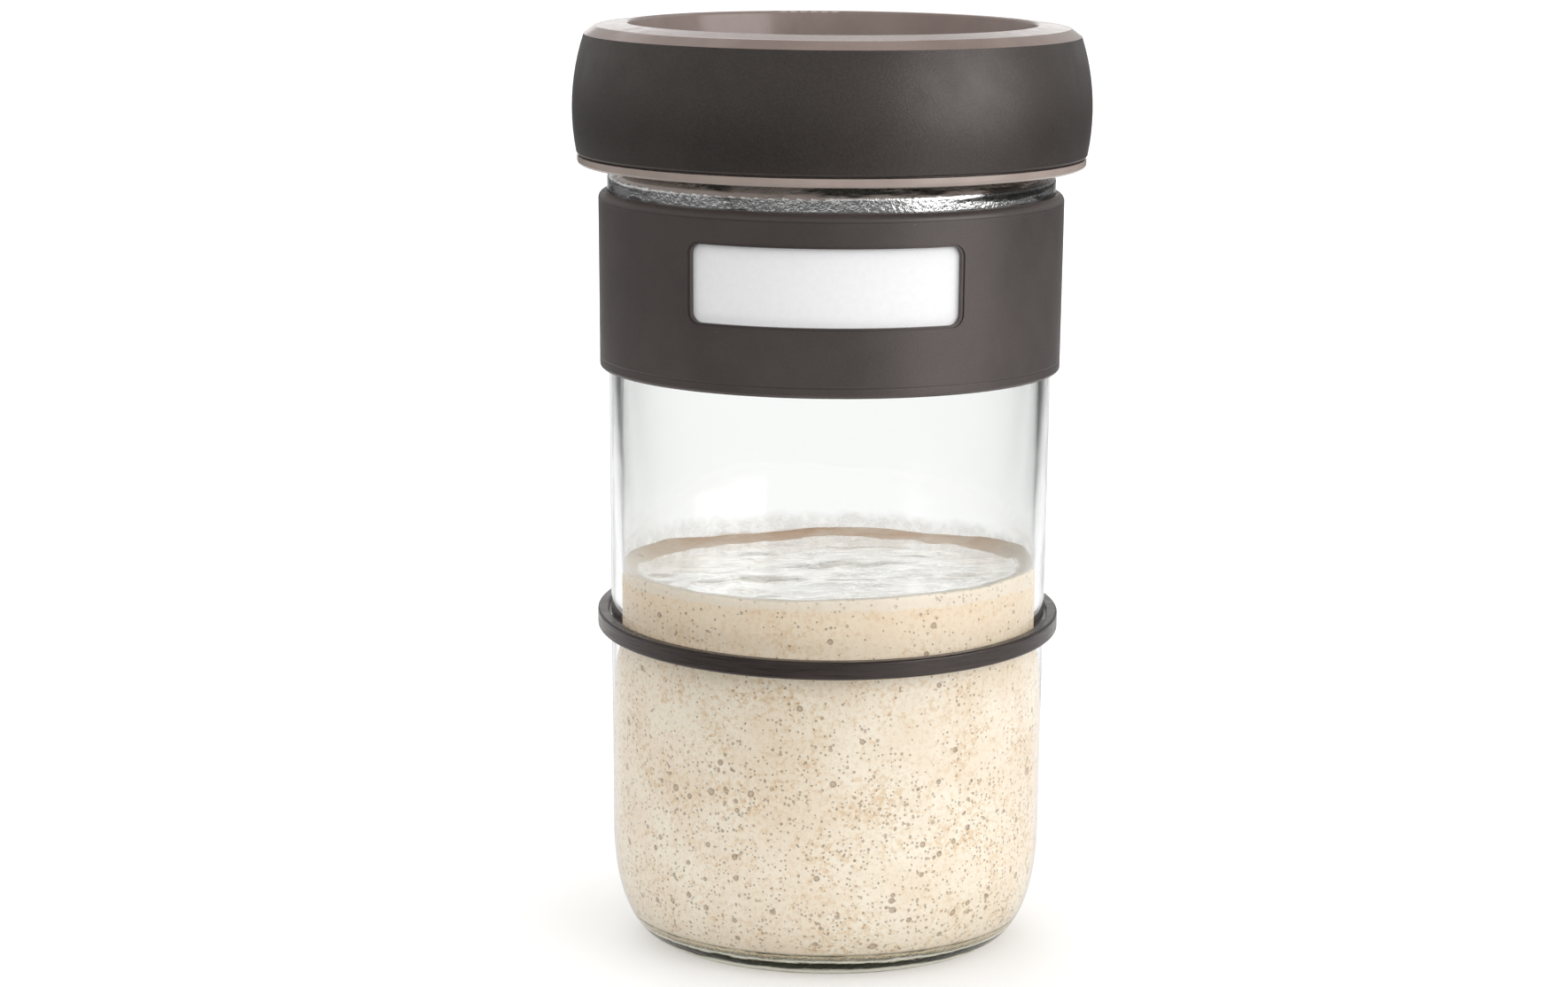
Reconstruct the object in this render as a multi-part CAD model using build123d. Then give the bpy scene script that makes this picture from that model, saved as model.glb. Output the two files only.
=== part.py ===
from build123d import *
import math
import os

# A one-litre glass jar for sourdough starter, in millimetres.
# The origin is the middle of the foot, +Z is up and the label window faces -Y.

# Glass body, with heights above the table
foot_radius = 35.0
foot_ring_width = 5.0
punt_depth = 1.2
floor_thickness = 4.2
glass_wall = 2.4
heel_height = 26.2
heel_radius = 46.9
heel_fullness_share = 0.62
shoulder_height = 167.8
shoulder_radius = 48.4
shoulder_rise = 2.0
shoulder_rounding = 1.4

# Glass finish that the lid screws on to
neck_inset = 3.2
neck_wall = 3.0
lip_rounding = 1.1
thread_starts = 4
thread_lead = 24.0
lug_turn_share = 0.19
cap_lug_turn_share = 0.14
cap_lug_lag_share = 0.025
lug_depth = 1.3
lug_root = 0.4
lug_height = 2.0
lug_tip_height = 1.0
lug_below_mouth = 3.44
cap_lug_above_flange = 1.55
thread_gap = 0.4
thread_play = 0.25

# Starter
starter_level = 83.0
starter_crown = 0.8
starter_gap = 0.05

# Label collar, whose window lies between its upper and lower bands
collar_below_shoulder = 3.3
collar_upper_band = 7.2
collar_lower_band = 14.6
collar_ridge_drop = 1.8
collar_thickness = 1.85
collar_top_land = 0.4
collar_bulge_share = 0.7
collar_rounding = 0.8
collar_fit = 0.03
window_height = 16.4
window_width = 57.6
window_rounding = 2.3
window_aside = 1.7
window_rebate_width = 0.5
window_rebate_depth = 0.3
card_thickness = 0.4
card_margin = 3.0
card_play = 0.15

# Level ring, which rests a little lower in front
ring_height = 71.4
ring_section = 2.4
ring_depth = 3.9
ring_play = 0.5
ring_rounding = 0.5
ring_tilt_angle = 2.5

# Lid, from the cap's skirt outwards
gasket_thickness = 2.0
gasket_overhang = 0.6
gasket_gap = 0.3
gasket_lift = 0.2
gasket_bead = 0.8
gasket_bead_depth = 0.7
cap_plate = 2.0
cap_wall = 2.0
flange_clearance = 0.4
flange_thickness = 1.9
flange_inset = 0.2
flange_rounding = 1.5
dish_floor = 2.0
dish_depth = 10.6
dish_draft = 1.5
dish_rounding = 2.5
rim_width = 6.9
rim_crease_inset = 2.4
rim_crease_drop = 0.8
rim_edge_drop = 2.6
rim_rounding = 0.7
rim_roof = 2.4
shell_clearance = 1.9
shell_wall = 2.0
sleeve_thickness = 2.2
sleeve_top_draw = 1.6
sleeve_belly_swell = 0.9
sleeve_belly_share = 0.37
sleeve_groove = 0.3
sleeve_rounding = 0.5

# Drawing
cut_overrun = 1.0
rounding_limit_share = 0.45
level_share = 0.5
front_angle = -90.0
turn = 360.0

# Heights that several pieces share
collar_top = shoulder_height - collar_below_shoulder
window_bottom = collar_top - collar_upper_band - window_height
collar_bottom = window_bottom - collar_lower_band
flange_bottom = shoulder_height + shoulder_rise + flange_clearance
flange_top = flange_bottom + flange_thickness
cap_lug_start = flange_bottom + cap_lug_above_flange + lug_height / 2
lug_start = cap_lug_start + lug_height + thread_play
mouth_height = lug_start + thread_lead * lug_turn_share + lug_height / 2 + lug_below_mouth
gasket_top = mouth_height + gasket_thickness
plate_top = gasket_top + cap_plate
dish_bottom = plate_top + dish_floor
lid_top = dish_bottom + dish_depth
sleeve_bottom = flange_top + sleeve_groove
sleeve_top = lid_top - rim_edge_drop

# Radii that several pieces share
neck_radius = shoulder_radius - neck_inset
neck_bore = neck_radius - neck_wall
skirt_bore = neck_radius + lug_depth + thread_gap
skirt_radius = skirt_bore + cap_wall
sleeve_bottom_radius = skirt_radius + shell_clearance + shell_wall + sleeve_thickness
sleeve_belly_radius = sleeve_bottom_radius + sleeve_belly_swell
sleeve_top_radius = sleeve_bottom_radius - sleeve_top_draw
rim_crease_radius = sleeve_top_radius - rim_crease_inset
rim_inner_radius = rim_crease_radius - rim_width
dish_floor_radius = rim_inner_radius - dish_draft


def corner(radius, height, rounding=0, bend=()):
    """A corner of a turned outline. The stretch after it curves through or towards bend."""
    return Vector(radius, 0, height), rounding, [Vector(r, 0, z) for r, z in bend]


def corner_arc(before, place, after, rounding):
    """Start, middle and end of the arc that rounds the corner at place."""
    back = (before - place).normalized()
    ahead = (after - place).normalized()
    half = math.acos(max(-1, min(1, back.dot(ahead)))) / 2
    longest = rounding_limit_share * min((before - place).length, (after - place).length)
    reach = min(rounding / math.tan(half), longest)
    radius = reach * math.tan(half)
    middle = place + (back + ahead).normalized() * (radius / math.sin(half) - radius)
    return place + back * reach, middle, place + ahead * reach


def outline_face(corners):
    """A closed face in the XZ plane through the corners, with their roundings and bends."""
    joints = []
    for index, (place, rounding, bend) in enumerate(corners):
        before = corners[index - 1][0]
        after = corners[(index + 1) % len(corners)][0]
        joints.append(corner_arc(before, place, after, rounding) if rounding else (place,))
    edges = []
    for index, joint in enumerate(joints):
        start = joint[-1]
        end = joints[(index + 1) % len(joints)][0]
        bend = corners[index][2]
        if len(joint) > 1:
            edges.append(ThreePointArc(*joint))
        if len(bend) == 1:
            edges.append(ThreePointArc(start, bend[0], end))
        elif bend:
            edges.append(Bezier(start, *bend, end))
        else:
            edges.append(Line(start, end))
    return make_face(edges)


def turned(corners, arc=turn, middle_angle=0):
    """The outline turned about the jar's axis, whole or as a sector about middle_angle."""
    return Rot(0, 0, middle_angle - arc / 2) * revolve(outline_face(corners), Axis.Z, revolution_arc=arc)


def glass_radius(height):
    """Outer radius of the tapered glass wall."""
    rise = (height - heel_height) / (shoulder_height - heel_height)
    return heel_radius + (shoulder_radius - heel_radius) * rise


def glass_band(bottom, top, inner, outer):
    """Corners of a band that follows the glass, inner and outer being distances from it."""
    return [
        corner(glass_radius(bottom) + inner, bottom),
        corner(glass_radius(bottom) + outer, bottom),
        corner(glass_radius(top) + outer, top),
        corner(glass_radius(top) + inner, top),
    ]


def heel_curve(foot, floor, side, top):
    """Handles of the full, rounded curve between a floor and a side wall."""
    return (
        (foot + (side - foot) * heel_fullness_share, floor),
        (side, top - (top - floor) * heel_fullness_share),
    )


def thread_lugs(root_radius, depth, height, turn_share, lag_share=0):
    """One lug for each start, climbing on the thread's lead. A negative depth points inwards."""
    root = math.copysign(lug_root, depth)
    path = Helix(pitch=thread_lead, height=thread_lead * turn_share, radius=root_radius)
    section = Polyline(
        (-root, -lug_height / 2),
        (depth, -lug_tip_height / 2),
        (depth, lug_tip_height / 2),
        (-root, lug_height / 2),
        close=True,
    )
    start = Plane(origin=path @ 0, x_dir=(1, 0, 0), z_dir=path % 0)
    lug = sweep(start * make_face(section), path=path, is_frenet=True)
    lug = Pos(0, 0, height + thread_lead * lag_share) * lug
    return [Rot(0, 0, turn * (lag_share + step / thread_starts)) * lug for step in range(thread_starts)]


def glass_jar():
    """Clear glass, with a pushed-up foot, a full heel, a shoulder and a threaded finish."""
    inner_foot = foot_radius - glass_wall
    inner_side = glass_radius(heel_height) - glass_wall
    inner_shoulder = glass_radius(shoulder_height) - glass_wall
    neck_foot = shoulder_height + shoulder_rise
    inner_heel = heel_curve(inner_foot, floor_thickness, inner_side, heel_height)
    outer_heel = heel_curve(foot_radius, 0, heel_radius, heel_height)
    jar = turned([
        corner(0, punt_depth),
        corner(0, floor_thickness),
        corner(inner_foot, floor_thickness, 0, inner_heel),
        corner(inner_side, heel_height),
        corner(inner_shoulder, shoulder_height - glass_wall / 2, shoulder_rounding),
        corner(neck_bore, neck_foot - neck_wall / 2, shoulder_rounding),
        corner(neck_bore, mouth_height, lip_rounding),
        corner(neck_radius, mouth_height, lip_rounding),
        corner(neck_radius, neck_foot),
        corner(shoulder_radius, shoulder_height, shoulder_rounding),
        corner(heel_radius, heel_height, 0, outer_heel[::-1]),
        corner(foot_radius, 0),
        corner(foot_radius - foot_ring_width, 0),
    ])
    for lug in thread_lugs(neck_radius, lug_depth, lug_start, lug_turn_share):
        jar += lug
    return jar


def starter():
    """The starter's whole volume, from the glass floor to its level, slightly crowned."""
    foot = foot_radius - glass_wall - starter_gap
    heel_side = glass_radius(heel_height) - glass_wall - starter_gap
    side = glass_radius(starter_level) - glass_wall - starter_gap
    heel = heel_curve(foot, floor_thickness, heel_side, heel_height)
    crown = starter_level + starter_crown
    return turned([
        corner(0, floor_thickness),
        corner(foot, floor_thickness, 0, heel),
        corner(heel_side, heel_height),
        corner(side, starter_level, 0, [(side * 2 / 3, crown - starter_crown / 3), (side / 3, crown)]),
        corner(0, crown),
    ])


def window_sector(inner, outer, margin, rounding):
    """A wedge through the collar as large as the window and a margin all round it."""
    radius = glass_radius(window_bottom)
    arc = math.degrees((window_width + 2 * margin) / radius)
    middle = front_angle - math.degrees(window_aside / radius)
    top = window_bottom + window_height
    wedge = turned(glass_band(window_bottom - margin, top + margin, inner, outer), arc, middle)
    if not rounding:
        return wedge
    radial = [edge for edge in wedge.edges().filter_by(GeomType.LINE) if abs((edge % 0).Z) < level_share]
    return fillet(radial, rounding)


def label_collar():
    """Stretchy collar with a stepped window, and a pocket inside for the label card."""
    ridge = collar_top - collar_ridge_drop
    outer = collar_fit + collar_thickness
    shoulder_middle = (
        glass_radius(ridge) + collar_fit + collar_top_land
        + (collar_thickness - collar_top_land) * collar_bulge_share,
        ridge + collar_ridge_drop * collar_bulge_share,
    )
    collar = turned([
        corner(glass_radius(collar_bottom) + collar_fit, collar_bottom),
        corner(glass_radius(collar_bottom) + outer, collar_bottom, collar_rounding),
        corner(glass_radius(ridge) + outer, ridge, 0, [shoulder_middle]),
        corner(glass_radius(collar_top) + collar_fit + collar_top_land, collar_top),
        corner(glass_radius(collar_top) + collar_fit, collar_top),
    ])
    collar -= window_sector(-cut_overrun, outer + cut_overrun, 0, window_rounding)
    rebate_rounding = window_rounding + window_rebate_width
    rebate_bottom = outer - window_rebate_depth
    collar -= window_sector(rebate_bottom, outer + cut_overrun, window_rebate_width, rebate_rounding)
    pocket = collar_fit + card_thickness + card_play
    collar -= window_sector(-cut_overrun, pocket, card_margin + card_play, 0)
    return collar


def label_card():
    """White card that lies on the glass behind the window."""
    return window_sector(collar_fit, collar_fit + card_thickness, card_margin, window_rounding)


def level_ring():
    """Loose rubber ring, tilted on the glass."""
    inner = glass_radius(ring_height) + ring_play
    outer = inner + ring_section
    ring = turned([
        corner(inner, -ring_depth / 2, ring_rounding),
        corner(outer, -ring_depth / 2, ring_rounding),
        corner(outer, ring_depth / 2, ring_rounding),
        corner(inner, ring_depth / 2, ring_rounding),
    ])
    return Pos(0, 0, ring_height) * Rot(ring_tilt_angle, 0, 0) * ring


def lid_gasket():
    """Flat seal between the glass lip and the cap's plate."""
    inner = neck_bore - gasket_overhang
    outer = skirt_bore - gasket_gap
    return turned([
        corner(inner, mouth_height),
        corner(outer, mouth_height),
        corner(outer, gasket_top),
        corner(inner, gasket_top),
    ])


def lid_inner_cap():
    """Closed cap with thread lugs, a bead that keeps the gasket in, and the flange that shows."""
    bead_top = mouth_height - gasket_lift
    bead_radius = skirt_bore - gasket_bead_depth
    flange_radius = sleeve_bottom_radius - flange_inset
    cap = turned([
        corner(0, gasket_top),
        corner(skirt_bore, gasket_top),
        corner(skirt_bore, bead_top),
        corner(bead_radius, bead_top, gasket_bead_depth / 2),
        corner(bead_radius, bead_top - gasket_bead / 2, gasket_bead_depth / 2),
        corner(skirt_bore, bead_top - gasket_bead),
        corner(skirt_bore, flange_bottom),
        corner(flange_radius, flange_bottom, flange_rounding),
        corner(flange_radius, flange_top),
        corner(skirt_radius, flange_top),
        corner(skirt_radius, plate_top),
        corner(0, plate_top),
    ])
    for lug in thread_lugs(skirt_bore, -lug_depth, cap_lug_start, cap_lug_turn_share, cap_lug_lag_share):
        cap += lug
    return cap


def sleeve_belly(inset):
    """Middle of the lid's barrel curve, moved inwards by inset."""
    height = sleeve_bottom + (sleeve_top - sleeve_bottom) * sleeve_belly_share
    return [(sleeve_belly_radius - inset, height)]


def lid_shell():
    """Top of the lid with its recess, wide rim and the barrel wall under the grip sleeve."""
    wall_inset = sleeve_thickness + shell_wall
    roof = sleeve_top - rim_roof
    return turned([
        corner(0, plate_top),
        corner(0, dish_bottom),
        corner(dish_floor_radius, dish_bottom, dish_rounding),
        corner(rim_inner_radius, lid_top, rim_rounding),
        corner(rim_crease_radius, lid_top - rim_crease_drop, rim_rounding),
        corner(sleeve_top_radius, sleeve_top),
        corner(sleeve_top_radius - sleeve_thickness, sleeve_top, 0, sleeve_belly(sleeve_thickness)),
        corner(sleeve_bottom_radius - sleeve_thickness, sleeve_bottom),
        corner(sleeve_bottom_radius - sleeve_thickness, flange_top),
        corner(sleeve_bottom_radius - wall_inset, flange_top, 0, sleeve_belly(wall_inset)),
        corner(sleeve_top_radius - wall_inset, roof),
        corner(rim_inner_radius + shell_wall, roof),
        corner(dish_floor_radius + shell_wall, plate_top),
    ])


def lid_grip_sleeve():
    """Silicone band stretched over the lid's barrel wall."""
    return turned([
        corner(sleeve_bottom_radius - sleeve_thickness, sleeve_bottom, 0, sleeve_belly(sleeve_thickness)),
        corner(sleeve_top_radius - sleeve_thickness, sleeve_top),
        corner(sleeve_top_radius, sleeve_top, 0, sleeve_belly(0)),
        corner(sleeve_bottom_radius, sleeve_bottom + sleeve_rounding),
        corner(sleeve_bottom_radius - sleeve_rounding, sleeve_bottom),
    ])


pieces = [
    glass_jar,
    starter,
    label_collar,
    label_card,
    level_ring,
    lid_gasket,
    lid_inner_cap,
    lid_shell,
    lid_grip_sleeve,
]

os.makedirs("parts", exist_ok=True)
for piece in pieces:
    export_step(piece(), "parts/" + piece.__name__ + ".step")
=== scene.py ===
import math

import bmesh
import bpy
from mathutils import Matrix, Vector, noise
from mathutils.geometry import interpolate_bezier


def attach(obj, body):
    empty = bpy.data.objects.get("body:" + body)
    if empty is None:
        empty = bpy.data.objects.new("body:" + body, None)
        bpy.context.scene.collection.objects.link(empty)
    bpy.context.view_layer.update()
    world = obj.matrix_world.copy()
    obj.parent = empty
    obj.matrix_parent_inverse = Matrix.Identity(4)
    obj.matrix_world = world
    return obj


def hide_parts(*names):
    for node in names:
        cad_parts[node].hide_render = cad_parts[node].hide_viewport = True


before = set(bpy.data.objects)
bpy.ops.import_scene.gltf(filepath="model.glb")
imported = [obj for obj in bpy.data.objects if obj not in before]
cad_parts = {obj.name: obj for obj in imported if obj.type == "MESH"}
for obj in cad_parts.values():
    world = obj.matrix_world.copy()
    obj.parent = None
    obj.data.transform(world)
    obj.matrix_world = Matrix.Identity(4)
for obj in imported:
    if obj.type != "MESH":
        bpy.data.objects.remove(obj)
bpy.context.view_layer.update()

MM = 0.001

# Inside of the glass, which the starter and its froth lie against. The heel is a curve from the flat floor
# up to the wall, and its fullness is the share of the way that each of its handles reaches
GLASS_WALL = 2.4 * MM
FLOOR_THICKNESS = 4.2 * MM
FOOT_RADIUS = 35 * MM
HEEL_HEIGHT = 26.2 * MM
HEEL_RADIUS = 46.9 * MM
HEEL_FULLNESS = 0.62
SHOULDER_HEIGHT = 167.8 * MM
SHOULDER_RADIUS = 48.4 * MM

# Starter: its solid's level, the steps round it, and the points or rings along its heel, floor, wall and top
STARTER_LEVEL = 83 * MM
STARTER_STEPS = 360
HEEL_POINTS = 48
FLOOR_RINGS = 12
WALL_RINGS = 100
TOP_RINGS = 64

# Where the starter wets the glass, reaching a little into it, and where a hair of air parts them: below
# one height at the floor, and above another on the sides and at the back
WET_DEPTH = 0.1 * MM
DRY_GAP = 0.06 * MM
DRY_FLOOR = 6.4 * MM
DRY_SIDES = 67 * MM
DRY_BACK = 46 * MM
SIDE_EDGE = 0.33
DRY_WANDER = 3 * MM

# The starter's surface: how far it creeps up the glass, more at the left and right, and how it has sunk
# and slopes
MENISCUS_WIDTH = 2.6 * MM
MENISCUS_CLIMB = 0.4 * MM
SIDE_CLIMB = 1.8 * MM
STARTER_SINK = 0.8 * MM
STARTER_SLOPE = Vector((0.016, -0.008))
SURFACE_DEPTH = 6 * MM

# Film of froth on the glass, from a little under the starter's level
FROTH_DEPTH = 2 * MM
FROTH_HEIGHT = 6.6 * MM
FROTH_THICKNESS = 0.2 * MM
FROTH_GAP = 0.1 * MM
FROTH_STEPS = 240
FROTH_RINGS = 14

# Gas bubbles, painted as shaded hollows: cells per metre, radius in cells, share of the cells that hold one,
# and strength of their painted shade
BUBBLE_SIZES = [
    (1100, 0.28, 0.6, 0.6),
    (600, 0.22, 0.4, 0.6),
    (310, 0.22, 0.34, 0.7),
    (150, 0.15, 0.4, 0.65),
]

# Light from all round, where white is 1, and its levels in front of the jar and behind it
WORLD_STRENGTH = 1.05
WORLD_FRONT = 1.15
WORLD_BACK = 0.9

# Lamps: name, place and target in metres, width and height in metres, and power in watts
LAMPS = [
    ("key", (1.28, -0.75, 0.47), (0, 0, 0.35), (1.3, 0.9), 8.5),
    ("back", (-0.2, 1.0, 1.2), (0, 0, 0.1), (0.8, 0.8), 4),
    ("low_back", (-0.05, 1.9, 0.42), (0, 0, 0.1), (0.8, 0.4), 0.85),
]

# Where the glass of the foot and of the neck just above the collar is rippled and carries painted dark and
# bright reflection streaks
FOOT_TOP = 5.8 * MM
FOOT_FADE = 6.6 * MM
NECK_BOTTOM = SHOULDER_HEIGHT - 4 * MM
NECK_TOP = SHOULDER_HEIGHT + 5 * MM

# Height of the band of painted dark (0) and bright (1) reflection lines on the thick foot, and the lines up
# it
PAINTED_FOOT_BAND = 7.4 * MM
FOOT_PAINTED_LINES = [(0.08, 0), (0.16, 0.1), (0.24, 0.7), (0.3, 1), (0.38, 0.9), (0.43, 0), (0.62, 0),
              (0.67, 1), (0.71, 0.8), (0.77, 0.3), (0.88, 0.55), (0.92, 0), (0.98, 0)]

# White paper that the jar stands on, and the floor that it lies on
PAPER_HALF_WIDTH = 0.25
PAPER_FRONT = -0.3
FLOOR_RADIUS = 12

# Lines moulded into the label collar
COLLAR_PARTING = 162.7 * MM
COLLAR_LOWER_LINE = 128.5 * MM
LINE_WIDTH = 0.22 * MM

# Camera, fitted to the photograph's ellipses and edges
CAMERA_PLACE = Vector((-10.85, -887.1, 252.4)) * MM
CAMERA_TILT = 9.874
CAMERA_ROLL = -0.42
CAMERA_LENS = 94.62
CAMERA_CLIP = 0.01
SENSOR_WIDTH = 36


class Socket:
    """An output socket of a node tree that Python's operators work on."""

    def __init__(self, owner, output):
        self.owner = owner
        self.output = output

    def maths(self, operation, *values):
        """A Math node on the values, which are all its inputs."""
        return self.owner.node("Math", {"operation": operation}, dict(enumerate(values)))

    def __add__(self, other):
        return self.maths("ADD", self, other)

    def __sub__(self, other):
        return self.maths("SUBTRACT", self, other)

    def __rsub__(self, other):
        return self.maths("SUBTRACT", other, self)

    def __mul__(self, other):
        return self.maths("MULTIPLY", self, other)

    def __truediv__(self, other):
        return self.maths("DIVIDE", self, other)

    def __rtruediv__(self, other):
        return self.maths("DIVIDE", other, self)

    def __lt__(self, other):
        return self.maths("LESS_THAN", self, other)

    def __gt__(self, other):
        return self.maths("GREATER_THAN", self, other)

    def __abs__(self):
        return self.maths("ABSOLUTE", self)

    __radd__ = __add__
    __rmul__ = __mul__


class NodeTree:
    """A node tree with one method that makes its nodes, and the few patterns built from it."""

    def __init__(self, tree):
        self.tree = tree

    def node(self, kind, settings=None, inputs=None, output=0):
        """A node of that kind with its settings, then its inputs' values or links, as a Socket."""
        made = self.tree.nodes.new("ShaderNode" + kind)
        for key, value in (settings or {}).items():
            if key == "stops":
                self.set_stops(made.color_ramp, value)
            else:
                setattr(made, key, value)
        for key, value in (inputs or {}).items():
            if isinstance(value, Socket):
                self.tree.links.new(value.output, made.inputs[key])
            else:
                made.inputs[key].default_value = value
        return Socket(self, made.outputs[output])

    def set_stops(self, ramp, stops):
        while len(ramp.elements) < len(stops):
            ramp.elements.new(1)
        for element, (place, colour) in zip(ramp.elements, stops):
            element.position = place
            element.color = opaque(colour)

    def link(self, socket, node, name):
        """Links a Socket to an input of one of the nodes that a new tree holds."""
        self.tree.links.new(socket.output, self.tree.nodes[node].inputs[name])

    def place(self):
        """Object coordinates, in metres."""
        return self.node("TexCoord", output="Object")

    def along(self, place, axis):
        """One axis of a vector."""
        return self.node("SeparateXYZ", {}, {0: place}, axis)

    def stretched(self, scale):
        """Object coordinates scaled along each axis."""
        return self.node("Mapping", {}, {"Vector": self.place(), "Scale": scale})

    def noise(self, scale, detail=2.0, roughness=0.5, place=None):
        """Cloudy noise from 0 to 1, with about scale clouds in a metre."""
        inputs = {"Vector": place or self.place(), "Scale": scale, "Detail": detail, "Roughness": roughness}
        return self.node("TexNoise", {}, inputs)

    def cells(self, scale):
        """Distance to the nearest of scattered points, and a random number and colour for each point."""
        inputs = {"Vector": self.place(), "Scale": scale}
        distance = self.node("TexVoronoi", {}, inputs, "Distance")
        colour = Socket(self, distance.output.node.outputs["Color"])
        return distance, self.node("SeparateColor", {}, {"Color": colour}), colour

    def ramp(self, value, *stops):
        """A colour ramp through stops, each a place from 0 to 1 and a colour."""
        return self.node("ValToRGB", {"stops": stops}, {"Fac": value})

    def level(self, value, low, high, to_low=0.0, to_high=1.0):
        """A smooth step from to_low at low to to_high at high."""
        inputs = {0: value, 1: low, 2: high, 3: to_low, 4: to_high}
        return self.node("MapRange", {"interpolation_type": "SMOOTHSTEP"}, inputs)

    def mix(self, factor, first, second):
        """The first colour at factor 0, the second at 1."""
        inputs = {0: factor, 6: opaque(first), 7: opaque(second)}
        return self.node("Mix", {"data_type": "RGBA"}, inputs, 2)

    def bump(self, height, strength, distance, normal=None):
        """A normal tilted by the height, over another bump's normal if one is given."""
        inputs = {"Height": height, "Strength": strength, "Distance": distance}
        if normal:
            inputs["Normal"] = normal
        return self.node("Bump", {}, inputs)

    def background_rays(self):
        """One for rays that show the background: seen, mirrored or through the glass."""
        seen = self.node("LightPath", output="Is Camera Ray")
        outputs = seen.output.node.outputs
        mirrored = Socket(self, outputs["Is Glossy Ray"])
        through = Socket(self, outputs["Is Transmission Ray"])
        return seen.maths("MAXIMUM", seen, mirrored.maths("MAXIMUM", mirrored, through))


class Finish(NodeTree):
    """A material with one Principled shader."""

    def __init__(self, name, **settings):
        self.material = bpy.data.materials.new(name)
        self.material.use_nodes = True
        super().__init__(self.material.node_tree)
        shader = self.tree.nodes["Principled BSDF"]
        for key, value in settings.items():
            shader.inputs[key.replace("_", " ")].default_value = value

    def feed(self, **links):
        """Links what varies to the Principled shader's sockets, with underscores for spaces."""
        for key, socket in links.items():
            self.link(socket, "Principled BSDF", key.replace("_", " "))


def opaque(colour):
    """A colour with its alpha, or a Socket as it is."""
    return colour if isinstance(colour, Socket) else (*colour, 1)


def hex_colour(text):
    """The linear colour of a screen colour written as six hex digits."""
    parts = [int(text[i:i + 2], 16) / 255 for i in (0, 2, 4)]
    return tuple(p / 12.92 if p <= 0.04045 else ((p + 0.055) / 1.055) ** 2.4 for p in parts)


# Grey-brown of the bubbles' centres: painted shade in the hollows
BUBBLE_SHADE_COLOURS = (hex_colour("b5a288"), hex_colour("a57f5f"))


def silicone_finish(name, darker, lighter, *line_heights):
    """Dark warm grey silicone: a fine tooth, pale specks of dust, and any moulded lines, darkened with
    painted shade.
    """
    finish = Finish(name, Specular_IOR_Level=1.0, Specular_Tint=(1, 0.9, 0.86, 1))
    tone = finish.noise(45, 4, 0.6)
    grain = finish.noise(2400, 2, 0.6)
    colour = finish.mix(finish.level(tone, 0.3, 0.7), darker, lighter)
    colour = finish.mix(finish.level(grain, 0.35, 0.75) * 0.25, colour, hex_colour("504843"))
    distance, pick, _ = finish.cells(420)
    dust = (distance < 0.05) * (pick > 0.93)
    colour = finish.mix(dust * 0.3, colour, hex_colour("a39a94"))
    relief = grain
    height = finish.along(finish.place(), "Z")
    for line_height in line_heights:
        # Painted shade: each moulded line is a groove, darkened in colour for the shade in it
        line = finish.level(abs(height - line_height), LINE_WIDTH / 2, LINE_WIDTH, 1, 0)
        colour = finish.mix(line * 0.7, colour, hex_colour("1e1a19"))
        relief = relief - line * 3
    finish.feed(
        Base_Color=colour,
        Roughness=finish.level(finish.noise(160, 2), 0.2, 0.8, 0.4, 0.48),
        Normal=finish.bump(relief, 0.3, 0.12 * MM),
    )
    return finish.material


def taupe_finish(name, darker, lighter):
    """Satin taupe plastic with a faint mould grain."""
    finish = Finish(name, Specular_IOR_Level=0.7, Specular_Tint=(1, 0.93, 0.92, 1))
    tone = finish.level(finish.noise(70, 4, 0.6), 0.3, 0.7)
    colour = finish.mix(tone, darker, lighter)
    finish.feed(
        Base_Color=colour,
        Roughness=finish.level(finish.noise(240, 2), 0.2, 0.8, 0.16, 0.24),
        Normal=finish.bump(finish.noise(1900, 2), 0.08, 0.08 * MM),
    )
    return finish.material


def ring_finish():
    """Dark brown rubber, drawn in fine lines round the ring."""
    finish = Finish("ring_rubber", Specular_IOR_Level=0.8, Specular_Tint=(1, 0.88, 0.84, 1))
    streak = finish.noise(2600, 3, 0.6, finish.stretched((0.05, 0.05, 1)))
    colour = finish.mix(finish.level(streak, 0.3, 0.7), hex_colour("150f0e"), hex_colour("2a2220"))
    finish.feed(
        Base_Color=colour,
        Roughness=finish.level(streak, 0.3, 0.7, 0.26, 0.4),
        Normal=finish.bump(streak, 0.35, 0.1 * MM),
    )
    return finish.material


def card_finish():
    """Smooth white writing card."""
    finish = Finish("white_card", Specular_IOR_Level=0.3)
    fibre = finish.noise(700, 4, 0.7)
    colour = finish.mix(finish.level(fibre, 0.3, 0.7), (0.92, 0.92, 0.93), (0.955, 0.955, 0.96))
    finish.feed(
        Base_Color=colour,
        Roughness=finish.level(fibre, 0.2, 0.8, 0.5, 0.62),
        Normal=finish.bump(fibre, 0.1, 0.05 * MM),
    )
    return finish.material


def gasket_finish():
    """Milky silicone."""
    finish = Finish("clear_silicone", Specular_IOR_Level=0.45, Transmission_Weight=0.3)
    cloud = finish.noise(120, 3)
    colour = finish.mix(finish.level(cloud, 0.3, 0.7), (0.7, 0.69, 0.67), (0.8, 0.79, 0.77))
    finish.feed(Base_Color=colour, Roughness=finish.level(finish.noise(900, 2), 0.2, 0.8, 0.4, 0.5))
    return finish.material


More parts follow.
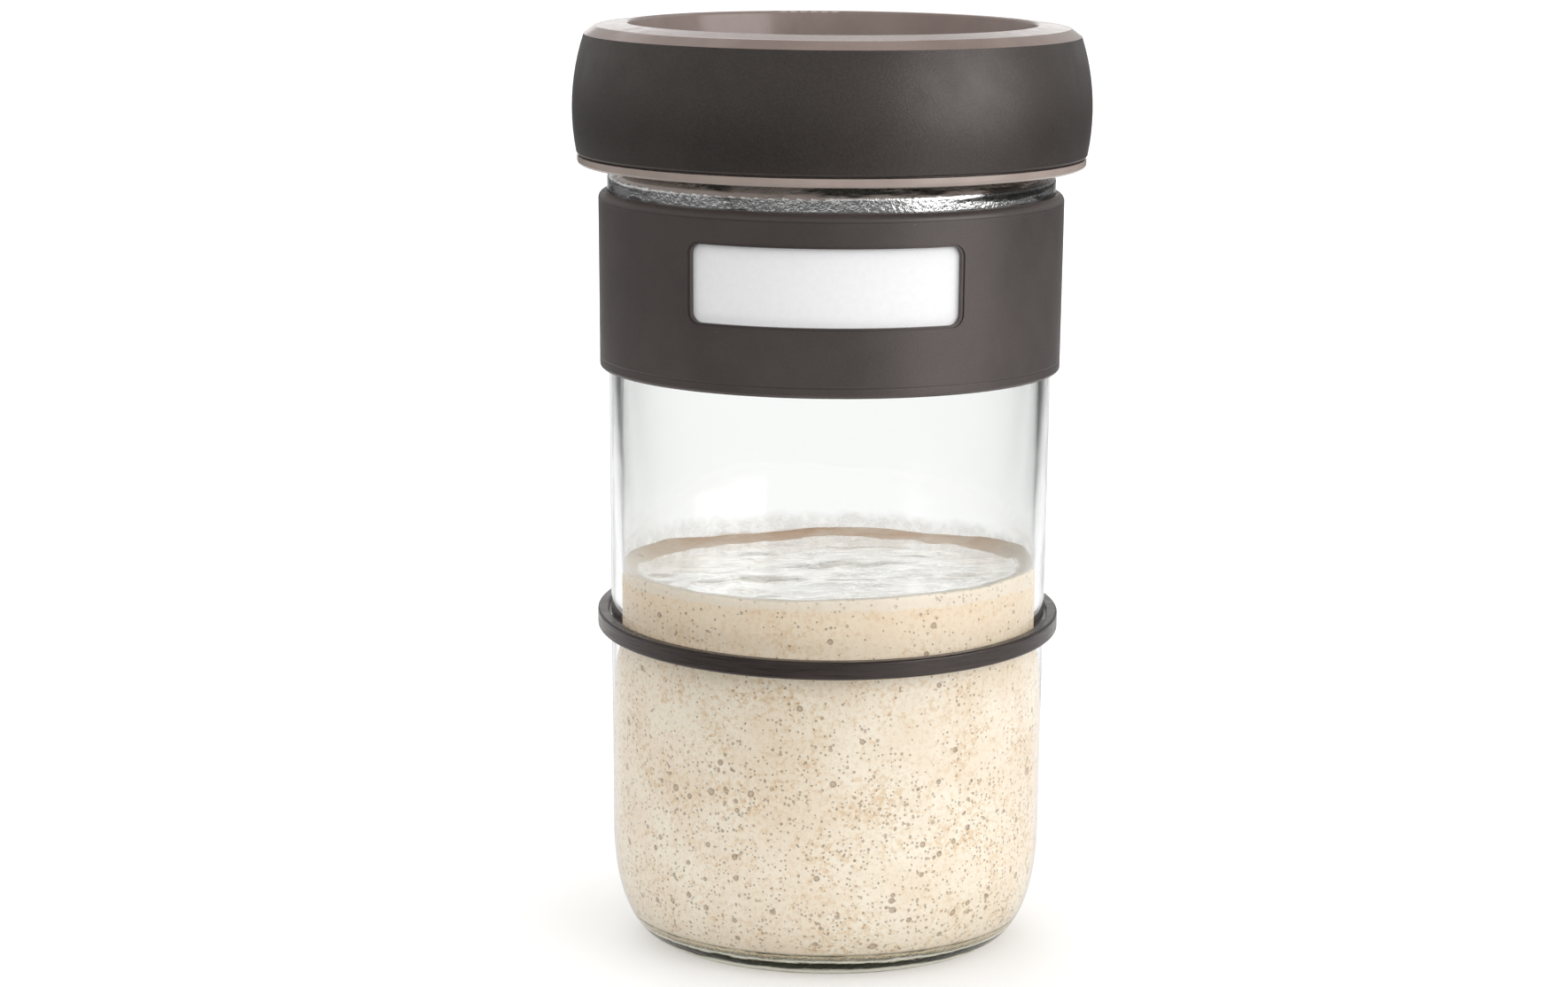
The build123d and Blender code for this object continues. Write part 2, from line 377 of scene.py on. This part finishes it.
def glass_finish():
    """Clear pressed glass, faintly green in bulk. Its rippled foot and neck carry painted dark and bright
    reflection lines, and it has a painted dark line where it is seen edge-on.
    """
    finish = Finish("clear_glass", Transmission_Weight=1.0, IOR=1.5, Roughness=0.0)
    height = finish.along(finish.place(), "Z")
    neck = finish.level(height, NECK_BOTTOM, NECK_BOTTOM + MM)
    neck = neck * finish.level(height, NECK_TOP - 2 * MM, NECK_TOP, 1, 0)
    foot = finish.level(height, FOOT_TOP, FOOT_FADE, 1, 0)
    flow = finish.noise(500, 4, 0.6, finish.stretched((0.1, 0.1, 1))) + finish.noise(22, 2)
    wander = finish.noise(500, 4, 0.7, finish.stretched((0.25, 0.25, 1))) * 1.6 * MM
    stops = [(place, (tone, tone, tone)) for place, tone in FOOT_PAINTED_LINES]
    lines = finish.ramp((height + wander) / PAINTED_FOOT_BAND, *stops)
    # Painted reflections: dark streaks over the neck, standing in for the dark collar and lid, and dark and
    # pale lines round the foot
    dark = neck * finish.level(flow, 0.92, 1.02, 0.9, 0) + foot * (lines < 0.5) * (1 - 2 * lines)
    pale = foot * (lines > 0.5) * (2 * lines - 1) * 0.7
    facing = finish.node("Fresnel", {}, {"IOR": 1.5})
    # Painted shade: the base colour turns dark grey where the glass is seen edge-on, a painted dark edge
    # line
    painted_edge_line = finish.level(facing, 0.25, 0.85) * (facing < 0.995)
    colour = finish.mix(painted_edge_line, (0.985, 0.99, 0.985), (0.15, 0.155, 0.15))
    smooth_wall = finish.bump(finish.noise(40, 2), 0.05, 2 * MM)
    ripple = finish.noise(900, 3, 0.6)
    finish.feed(
        # The foot's yellow-grey tint and the painted dark lines go into the base colour; Metallic turns the
        # dark lines black
        Base_Color=finish.mix(dark, finish.mix(foot, colour, (0.75, 0.72, 0.55)), (0.02, 0.022, 0.012)),
        Metallic=neck * finish.level(flow, 0.9, 1.05, 0.3, 0.95) + foot * dark,
        Normal=finish.bump(ripple * (neck + foot), 0.5, 0.4 * MM, smooth_wall),
    )
    lit = finish.node("LightPath", output="Is Shadow Ray")
    lit = lit.maths("MAXIMUM", lit, Socket(finish, lit.output.node.outputs["Is Diffuse Ray"]))
    glass = Socket(finish, finish.tree.nodes["Principled BSDF"].outputs["BSDF"])
    # A pale matte shader, mixed in along the foot's pale lines: a painted reflection
    rippled = finish.node("BsdfDiffuse", {}, {"Color": (0.85, 0.85, 0.75, 1)})
    glass = finish.node("MixShader", {}, {0: pale, 1: glass, 2: rippled})
    open_way = finish.node("BsdfTransparent", {}, {"Color": (0.95, 0.95, 0.95, 1)})
    finish.link(finish.node("MixShader", {}, {0: lit, 1: glass, 2: open_way}), "Material Output", "Surface")
    bulk = finish.node("VolumeAbsorption", {}, {"Color": (0.0, 0.16, 0.1, 1), "Density": 6.0})
    finish.link(bulk, "Material Output", "Volume")
    return finish.material


def starter_finish():
    """Cream starter with bran, gas bubbles against the glass with painted shade in their hollows, and a wet,
    crinkled top whose pale colour is partly painted light.
    """
    finish = Finish("wet_starter", Specular_IOR_Level=0.5, Coat_Roughness=0.08)
    place = finish.place()
    height = finish.along(place, "Z")
    inside_rim = finish.node("Attribute", {"attribute_name": "top"}, {}, "Fac")
    back_rim = finish.level(finish.along(place, "Y"), 0, 40 * MM)
    dull_rim = back_rim * (finish.noise(60, 4, 0.6) * 1.6 - 0.1) + finish.noise(110, 2) * 0.2
    top = finish.level(inside_rim - dull_rim, 0, 0.15)

    patch = finish.level(finish.noise(60, 4, 0.6), 0.3, 0.7)
    colour = finish.mix(patch, hex_colour("f0dfc8"), hex_colour("f7edda"))
    grain = finish.level(finish.noise(1300, 3, 0.7), 0.45, 0.72)
    colour = finish.mix(grain * 0.5, colour, hex_colour("dcc5a6"))
    bran_zone = finish.noise(80, 3, 0.6)
    bran = finish.level(finish.noise(800, 3, 0.7) + bran_zone * 0.4, 0.68, 0.9)
    colour = finish.mix(bran * 0.6, colour, hex_colour("d6b282"))
    flake = finish.level(finish.noise(1000, 2, 0.6) + bran_zone * 0.35, 0.82, 0.9)
    colour = finish.mix(flake * 0.6, colour, hex_colour("b98a5e"))

    upper = finish.level(height, 58 * MM, 78 * MM)
    colour = finish.mix(upper * 0.4, colour, hex_colour("f6dcba"))
    low_zone = finish.level(height, 62 * MM, 20 * MM)
    busy = finish.level(finish.noise(38, 3) + low_zone * 0.26, 0.36, 0.66, 0.15, 1)
    size_noise = finish.noise(300, 1)
    pits = None
    for scale, radius, share, strength in BUBBLE_SIZES:
        distance, pick, tint = finish.cells(scale)
        edge = radius * (0.5 + size_noise)
        bubble = finish.level(distance / edge, 0.7, 1.0, 1, 0) * (pick < share * busy)
        rim = finish.level(distance / edge, 0.4, 0.8)
        centre = finish.mix(finish.node("SeparateColor", {}, {"Color": tint}, 1), *BUBBLE_SHADE_COLOURS)
        # Each bubble is painted darker, most at its rim: painted shade in the hollow
        bubble_shade = finish.mix(rim, centre, hex_colour("8f765c"))
        colour = finish.mix(bubble * strength * (1 - top), colour, bubble_shade)
        pits = bubble if pits is None else pits + bubble

    edge_height = height + finish.noise(150, 3) * 1.5 * MM
    shallow = finish.level(edge_height, STARTER_LEVEL - 1.6 * MM, STARTER_LEVEL - 0.8 * MM) * (1 - top)
    colour = finish.mix(shallow * 0.5, colour, hex_colour("f3ece0"))
    # The wet top is near-white: partly its own pale cream, partly painted light that makes up for the shade
    # under the lid
    wet_patch = finish.level(finish.noise(70, 4, 0.6), 0.35, 0.65)
    wet_colour_with_painted_light = finish.mix(wet_patch, hex_colour("f6e9d6"), hex_colour("fffaf2"))
    tan_rim = back_rim * finish.level(height, STARTER_LEVEL - 3 * MM, STARTER_LEVEL - 2 * MM)
    colour = finish.mix(tan_rim * (0.4 + 0.6 * wet_patch), colour, hex_colour("c9a17c"))
    colour = finish.mix(top * 0.95, colour, wet_colour_with_painted_light)
    ripple = finish.noise(300, 4, 0.6, finish.stretched((0.5, 1, 1)))
    wrinkle = finish.level(abs(ripple - 0.5), 0, 0.05, 1, 0)
    crinkle = ripple - 0.5 + wrinkle * 0.25
    finish.feed(
        Base_Color=colour,
        Roughness=finish.level(top, 0, 1, 0.42, 0.05),
        Metallic=top * 0.75,
        Coat_Weight=top,
        Normal=finish.bump(crinkle * top * 1.3 - pits * (1 - top) * 0.4, 1.0, 0.5 * MM),
    )
    return finish.material


def froth_finish():
    """Thin film of froth that the sinking starter left on the glass: whitish, and tan at its lower edge."""
    finish = Finish("dried_froth", Specular_IOR_Level=0.3)
    place = finish.place()
    rise = finish.node("Attribute", {"attribute_name": "rise"}, {}, "Fac")
    back = finish.level(finish.along(place, "Y"), -30 * MM, 10 * MM, 0.25, 1)
    lace = finish.level(finish.noise(260, 3, 0.6), 0.3, 0.7)
    fade = finish.level(rise + finish.noise(160, 3) * 0.5, 0.7, 1.15, 1, 0)
    foot = finish.level(rise + finish.noise(90, 3) * 0.4, 0.2, 0.42)
    finish.feed(
        Base_Color=finish.mix(foot, hex_colour("dcc3a6"), (1.0, 0.995, 0.98)),
        Roughness=finish.level(lace, 0, 1, 0.3, 0.5),
        Alpha=fade * back * (0.12 + 0.22 * lace + 0.4 * (1 - foot)),
    )
    return finish.material


def wear(node, material):
    """Gives a CAD node its one finish."""
    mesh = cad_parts[node].data
    mesh.materials.clear()
    mesh.materials.append(material)


def glass_inside(height):
    """Radius of the glass's inner wall above the heel."""
    rise = (height - HEEL_HEIGHT) / (SHOULDER_HEIGHT - HEEL_HEIGHT)
    return HEEL_RADIUS + (SHOULDER_RADIUS - HEEL_RADIUS) * rise - GLASS_WALL


def smooth(value, low, high):
    """Smooth step from 0 at low to 1 at high, whichever is the larger."""
    share = min(max((value - low) / (high - low), 0), 1)
    return share * share * (3 - 2 * share)


def spun(profile, steps, *layers):
    """A closed turned mesh from points, each a radius, a height and its layers' values."""
    bm = bmesh.new()
    values = {layer: bm.verts.layers.float.new(layer) for layer in layers}
    line = []
    for radius, height, *amounts in profile:
        vert = bm.verts.new((radius, 0, height))
        for layer, amount in zip(layers, amounts):
            vert[values[layer]] = amount
        line.append(vert)
    edges = [bm.edges.new(pair) for pair in zip(line, line[1:])]
    if profile[0][0] > 0:
        edges.append(bm.edges.new((line[-1], line[0])))
    bmesh.ops.spin(
        bm,
        geom=line + edges,
        cent=(0, 0, 0),
        axis=(0, 0, 1),
        angle=math.tau,
        steps=steps,
        use_merge=True,
    )
    bmesh.ops.remove_doubles(bm, verts=bm.verts, dist=MM / 1000)
    bmesh.ops.recalc_face_normals(bm, faces=bm.faces)
    return bm, values


def add_piece(name, bm, material, body, slot, *replaced):
    """Makes the mesh an object that rides on a body."""
    mesh = bpy.data.meshes.new(name)
    bm.to_mesh(mesh)
    bm.free()
    mesh.shade_smooth()
    mesh.materials.append(material)
    piece = bpy.data.objects.new(name, mesh)
    bpy.context.scene.collection.objects.link(piece)
    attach(piece, body)
    if replaced:
        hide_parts(*replaced)
    return piece


def add_starter():
    """The starter as it sits in the glass: wet against the heel, with a meniscus and a rippled top."""
    foot = FOOT_RADIUS - GLASS_WALL
    side = glass_inside(HEEL_HEIGHT)
    heel = interpolate_bezier(
        (foot, 0, FLOOR_THICKNESS),
        (foot + (side - foot) * HEEL_FULLNESS, 0, FLOOR_THICKNESS),
        (side, 0, HEEL_HEIGHT - (HEEL_HEIGHT - FLOOR_THICKNESS) * HEEL_FULLNESS),
        (side, 0, HEEL_HEIGHT),
        HEEL_POINTS,
    )
    profile = [(foot * ring / FLOOR_RINGS, FLOOR_THICKNESS, 0) for ring in range(FLOOR_RINGS)]
    profile += [(point.x, point.z, 0) for point in heel]
    for ring in range(1, WALL_RINGS + 1):
        height = HEEL_HEIGHT + (STARTER_LEVEL - HEEL_HEIGHT) * ring / WALL_RINGS
        profile.append((glass_inside(height), height, 0))
    rim = glass_inside(STARTER_LEVEL)
    wet_rim = rim - 5 * MENISCUS_WIDTH
    for ring in range(TOP_RINGS - 1, -1, -1):
        radius = rim * ring / TOP_RINGS
        profile.append((radius, STARTER_LEVEL, smooth(radius, rim, wet_rim)))
    bm, _ = spun(profile, STARTER_STEPS, "top")
    for vert in bm.verts:
        radius = vert.co.xy.length
        height = vert.co.z
        outward = Vector((vert.co.x, vert.co.y, 0))
        if height > STARTER_LEVEL - MM / 10:
            vert.co -= outward * DRY_GAP / rim
        elif height > FLOOR_THICKNESS + MM / 10:
            front = -vert.co.y / radius
            wander = noise.noise(vert.co * 90) * DRY_WANDER
            line = DRY_BACK + (DRY_SIDES - DRY_BACK) * smooth(front, 0, SIDE_EDGE) + wander
            dry = smooth(front, SIDE_EDGE, SIDE_EDGE - 0.02) * smooth(height, line, line + 2 * MM)
            dry = max(dry, smooth(height, DRY_FLOOR, DRY_FLOOR - 1.5 * MM))
            vert.co += outward.normalized() * (WET_DEPTH - (WET_DEPTH + DRY_GAP) * dry)
        else:
            vert.co -= outward * DRY_GAP / foot
            vert.co.z += DRY_GAP
        lift = smooth(height, STARTER_LEVEL - SURFACE_DEPTH, STARTER_LEVEL)
        swell = noise.noise(vert.co * 35) * 0.6 + noise.noise(vert.co * 130) * 0.3
        climb = MENISCUS_CLIMB * (1 + noise.noise(vert.co * 60)) + SIDE_CLIMB * (vert.co.x / rim) ** 4
        climb = climb * smooth(radius, rim - 2 * MENISCUS_WIDTH, rim)
        vert.co.z += lift * (swell * MM + climb + vert.co.xy.dot(STARTER_SLOPE) - STARTER_SINK)
    return add_piece("starter_fill", bm, starter_finish(), "jar", "starter", "starter")


def add_froth():
    """The film of froth round the glass, above the starter."""
    outer = []
    inner = []
    for ring in range(FROTH_RINGS + 1):
        rise = ring / FROTH_RINGS
        height = STARTER_LEVEL - FROTH_DEPTH + FROTH_HEIGHT * rise
        radius = glass_inside(height) - FROTH_GAP
        thickness = FROTH_THICKNESS * (1 - 0.6 * rise)
        outer.append((radius, height, rise))
        inner.append((radius - thickness, height, rise))
    bm, values = spun(outer + inner[::-1], FROTH_STEPS, "rise")
    rise = values["rise"]
    for vert in bm.verts:
        tatter = noise.noise(vert.co * 70) * 1.6 + noise.noise(vert.co * 260) * 0.5
        vert.co.z += vert[rise] * tatter * MM
    return add_piece("froth_film", bm, froth_finish(), "jar", "starter")


def set_camera():
    """The camera, level but for its tilt and a slight roll."""
    data = bpy.data.cameras.new("camera")
    data.lens = CAMERA_LENS
    data.sensor_width = SENSOR_WIDTH
    data.clip_start = CAMERA_CLIP
    camera = bpy.data.objects.new("camera", data)
    bpy.context.scene.collection.objects.link(camera)
    camera.location = CAMERA_PLACE
    camera.rotation_euler = (math.radians(90 - CAMERA_TILT), math.radians(CAMERA_ROLL), 0)
    bpy.context.scene.camera = camera


def area_lamp(name, place, target, size, power):
    """A rectangular lamp at a place, facing its target."""
    data = bpy.data.lights.new(name, "AREA")
    data.shape = "RECTANGLE"
    data.size, data.size_y = size
    data.energy = power
    lamp = bpy.data.objects.new(name, data)
    bpy.context.scene.collection.objects.link(lamp)
    lamp.location = place
    lamp.rotation_euler = (Vector(target) - Vector(place)).to_track_quat("-Z", "Y").to_euler()


def set_world():
    """Soft light all round. A mirrored ray sees white behind the jar and low at its left, else dark grey."""
    world = bpy.data.worlds.new("studio")
    bpy.context.scene.world = world
    world.use_nodes = True
    studio = NodeTree(world.node_tree)
    direction = studio.node("TexCoord", output="Generated")
    across = studio.along(direction, "X")
    away = studio.along(direction, "Y")
    rise = studio.along(direction, "Z")
    behind = studio.level(away - across * 0.25, 0.3, 0.8)
    ceiling = studio.level(rise, 0.4, 0.85, 1, 0.3)
    left = studio.level(across, -0.6, -0.4, 1, 0) * studio.level(abs(rise + 0.08), 0.05, 0.1, 1, 0)
    seen = studio.node("LightPath", output="Is Camera Ray")
    shown = studio.background_rays()
    around = studio.level(away, -1, 1, WORLD_FRONT, WORLD_BACK) * WORLD_STRENGTH
    mirrored = (0.1 + 0.9 * behind.maths("MAXIMUM", left)) * ceiling
    strength = seen + (1 - seen) * (shown * mirrored + (1 - shown) * around)
    studio.link(strength, "Background", "Strength")
    world.node_tree.nodes["Background"].inputs["Color"].default_value = (1, 1, 1, 1)


def make_floor():
    """White paper on a dark floor that the camera sees as white, too. Both keep the jar's shadow, and their
    glow fades towards the jar: a painted shadow round its foot, and painted shade under it for mirrored and
    through-glass rays.
    """
    bm = bmesh.new()
    bmesh.ops.create_circle(bm, cap_ends=True, segments=96, radius=FLOOR_RADIUS)
    mesh = bpy.data.meshes.new("floor")
    bm.to_mesh(mesh)
    bm.free()
    floor = bpy.data.objects.new("floor", mesh)
    bpy.context.scene.collection.objects.link(floor)
    finish = Finish("white_floor", Roughness=0.9, Specular_IOR_Level=0.0, Emission_Strength=1.0)
    place = finish.place()
    away = finish.node("VectorMath", {"operation": "LENGTH"}, {0: place}, "Value")
    across = abs(finish.along(place, "X"))
    paper = finish.level(across, PAPER_HALF_WIDTH, 2 * PAPER_HALF_WIDTH, 1, 0)
    askew = finish.along(place, "Y") + finish.along(place, "X") * 0.6
    paper = paper * finish.level(askew, PAPER_FRONT, PAPER_FRONT / 2)
    seen = finish.node("LightPath", output="Is Camera Ray")
    # Painted shadow: the glow that the camera sees is lower near the jar's foot, and mirrored and
    # through-glass rays see none under the jar
    seen_glow_with_painted_shadow = finish.level(away, 38 * MM, 120 * MM, 0.12, 0.3) + (1 - paper) * 0.85
    mirrored_glow_with_painted_shade = finish.level(away, 40 * MM, 150 * MM, 0, 0.08) * paper
    glow = seen * seen_glow_with_painted_shadow + (1 - seen) * finish.background_rays() * mirrored_glow_with_painted_shade
    finish.feed(
        Base_Color=finish.mix(paper, (0.1, 0.1, 0.1), (0.8, 0.8, 0.8)),
        Emission_Color=finish.mix(glow, (0, 0, 0), (1, 1, 1)),
    )
    floor.data.materials.append(finish.material)


set_camera()
set_world()
make_floor()
for lamp_settings in LAMPS:
    area_lamp(*lamp_settings)

add_starter()
add_froth()

collar_tones = (hex_colour("373130"), hex_colour("413a38"))
collar_silicone = silicone_finish("collar_silicone", *collar_tones, COLLAR_PARTING, COLLAR_LOWER_LINE)
grip_silicone = silicone_finish("grip_silicone", hex_colour("1b1715"), hex_colour("241f1d"))
lid_taupe = taupe_finish("lid_taupe", hex_colour("7f706a"), hex_colour("897a73"))
# Painted light: the inner cap wears a lighter copy of the lid's taupe, lightened because its flange lies in
# shade
cap_taupe_painted_light = taupe_finish("cap_taupe_painted_light", hex_colour("a3958d"), hex_colour("ae9f97"))
wear("glass_jar", glass_finish())
wear("label_collar", collar_silicone)
wear("label_card", card_finish())
wear("level_ring", ring_finish())
wear("lid_gasket", gasket_finish())
wear("lid_inner_cap", cap_taupe_painted_light)
wear("lid_shell", lid_taupe)
wear("lid_grip_sleeve", grip_silicone)

bpy.context.scene.view_settings.view_transform = "Standard"
